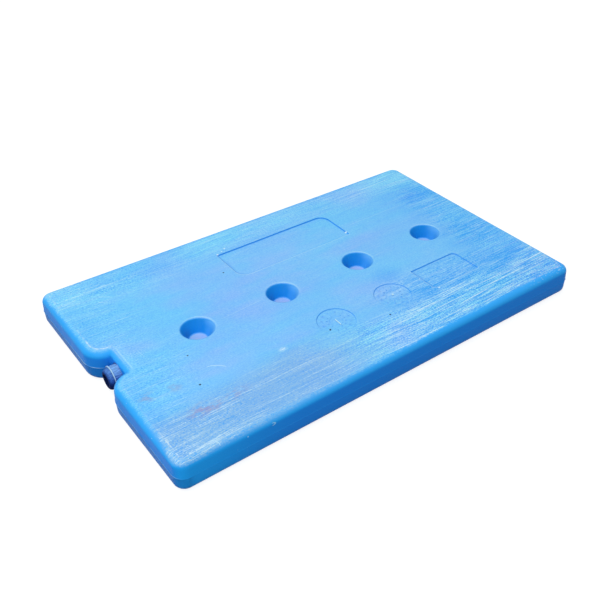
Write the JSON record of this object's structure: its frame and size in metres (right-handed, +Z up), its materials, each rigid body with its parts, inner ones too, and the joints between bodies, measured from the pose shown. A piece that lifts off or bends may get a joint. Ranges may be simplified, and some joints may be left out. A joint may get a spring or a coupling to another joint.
{
  "type": "reusable ice pack",
  "caption": "Flat rectangular blow-moulded cooling plate with a row of conical dimples, sunk panels and dials, rounded edges and a filler stopper in a notch at one end.",
  "frame": {"origin": "middle of the underside of the bounding box, on the surface that the plate lies on", "axes": "+X along the plate's length, away from the notched end with the stopper; +Y across the width, towards the large sunk panel; +Z up, out of the face with the panels"},
  "size_m": [0.53, 0.325, 0.036],
  "materials": {
    "plate_plastic": "scuffed satin",
    "plug_plastic": "satin"
  },
  "bodies": {
    "root": {"plate": "plate_plastic", "filler_plug": "plug_plastic"}
  },
  "joints": []
}
